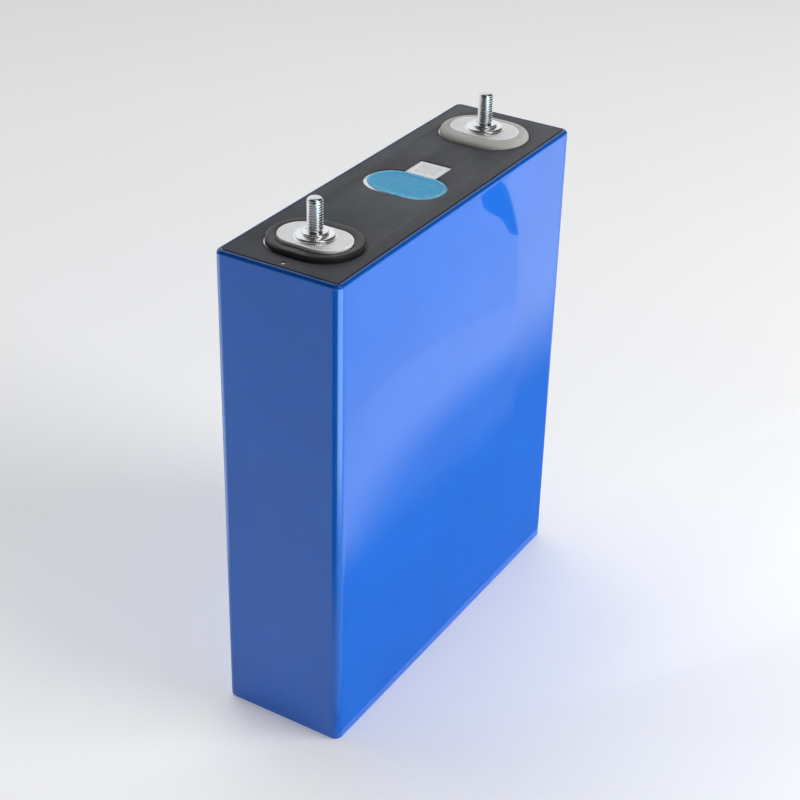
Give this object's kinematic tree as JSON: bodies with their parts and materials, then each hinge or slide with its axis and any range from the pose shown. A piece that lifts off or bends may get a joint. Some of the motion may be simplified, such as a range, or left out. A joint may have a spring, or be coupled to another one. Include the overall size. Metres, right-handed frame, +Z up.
{
  "type": "prismatic battery cell",
  "caption": "Tall flat prismatic lithium cell in a glossy blue film, with a dark insulated lid, an oval vent and a threaded stud on each terminal.",
  "frame": {"origin": "middle of the bottom face", "axes": "+X along the cell from the negative terminal to the positive one, +Y through its thickness, +Z up"},
  "size_m": [0.174, 0.054, 0.2218],
  "materials": {
    "film_blue": "glossy cobalt-blue PET film over metal",
    "patch_charcoal": "fine-grained matt charcoal sheet",
    "vent_film_light_blue": "semi-gloss light-blue film",
    "case_aluminium": "drawn aluminium, satin",
    "lid_aluminium": "rolled aluminium, satin, with a laser-frosted field",
    "vent_aluminium": "pressed aluminium foil, semi-bright",
    "terminal_aluminium": "milled aluminium, satin",
    "stud_base_aluminium": "turned aluminium with a laser-weld edge",
    "stud_steel": "bright plated steel",
    "insulator_black": "black moulded plastic, satin",
    "insulator_grey": "warm light-grey moulded plastic, satin",
    "lower_insulator_black": "black moulded polypropylene",
    "seal_rubber": "black fluororubber",
    "plug_rubber": "black rubber",
    "pole_copper": "bare copper",
    "pole_aluminium": "bare aluminium",
    "collector_copper": "stamped copper",
    "collector_aluminium": "stamped aluminium",
    "foil_copper": "stacked copper foil",
    "foil_aluminium": "stacked aluminium foil",
    "tape_green": "thin green polyester tape",
    "winding_grey": "coated electrode foils under separator",
    "bag_clear": "milky clear polypropylene film",
    "support_white": "white polypropylene"
  },
  "bodies": {
    "root": {"bottom_support_plate": "support_white", "case_can": "case_aluminium", "fill_port_cap": "lid_aluminium", "fill_port_plug": "plug_rubber", "insulating_bag": "bag_clear", "lid_plate": "lid_aluminium", "negative_current_collector": "collector_copper", "negative_foil_tabs": "foil_copper", "negative_lower_insulator": "lower_insulator_black", "negative_seal_ring": "seal_rubber", "negative_stud": "stud_steel", "negative_stud_base": "stud_base_aluminium", "negative_tab_weld_tape": "tape_green", "negative_terminal_plate": "terminal_aluminium", "negative_terminal_pole": "pole_copper", "negative_upper_insulator": "insulator_black", "outer_film_wrap": "film_blue", "positive_current_collector": "collector_aluminium", "positive_foil_tabs": "foil_aluminium", "positive_lower_insulator": "lower_insulator_black", "positive_seal_ring": "seal_rubber", "positive_stud": "stud_steel", "positive_stud_base": "stud_base_aluminium", "positive_tab_weld_tape": "tape_green", "positive_terminal_plate": "terminal_aluminium", "positive_terminal_pole": "pole_aluminium", "positive_upper_insulator": "insulator_grey", "top_insulating_patch": "patch_charcoal", "vent_burst_disc": "vent_aluminium", "vent_protective_film": "vent_film_light_blue", "winding_front": "winding_grey", "winding_rear": "winding_grey", "winding_tapes": "tape_green"}
  },
  "joints": []
}
